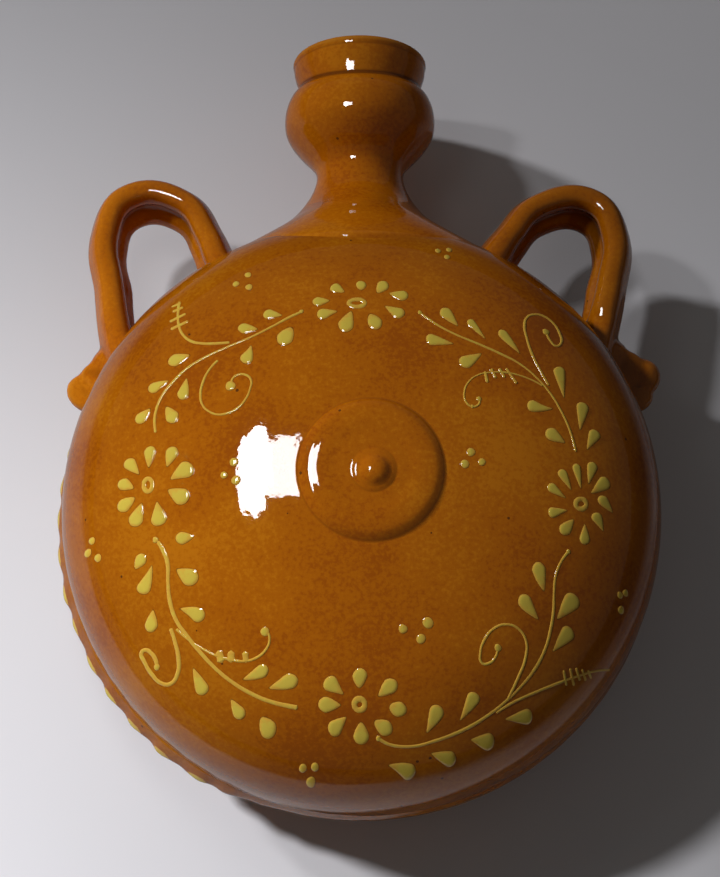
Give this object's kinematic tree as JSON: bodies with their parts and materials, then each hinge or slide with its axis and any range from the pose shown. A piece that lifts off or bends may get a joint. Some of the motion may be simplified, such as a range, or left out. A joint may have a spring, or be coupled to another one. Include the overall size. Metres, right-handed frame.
{
  "type": "pilgrim flask",
  "caption": "Round glazed earthenware flask for water, lying on its back, with a bulbed neck and two strap handles on its shoulders.",
  "frame": {"origin": "centre of the flat on the back shell, on which the flask lies", "axes": "+Z out of the front, through the boss; +Y along the neck towards the mouth; +X to the right as the front is seen with its mouth up"},
  "size_m": [0.2432, 0.3229, 0.1355],
  "materials": {
    "front_glaze": "glossy honey-brown lead glaze over red clay, with trailed yellow slip",
    "back_glaze": "the same glaze, a little thinner and duller, worn to clay on the foot",
    "boss_glaze": "glossy honey-brown glaze",
    "strip_glaze": "glossy glaze, with pale slip dabbed on its crests",
    "neck_glaze": "glossy honey-brown glaze, thin and bare in the bore",
    "handle_glaze": "glossy honey-brown glaze, darker where it pools along the strap"
  },
  "bodies": {
    "root": {"front_shell": "front_glaze", "back_shell": "back_glaze", "front_boss": "boss_glaze", "edge_strip": "strip_glaze", "neck": "neck_glaze", "handle_left": "handle_glaze", "handle_right": "handle_glaze"}
  },
  "joints": []
}
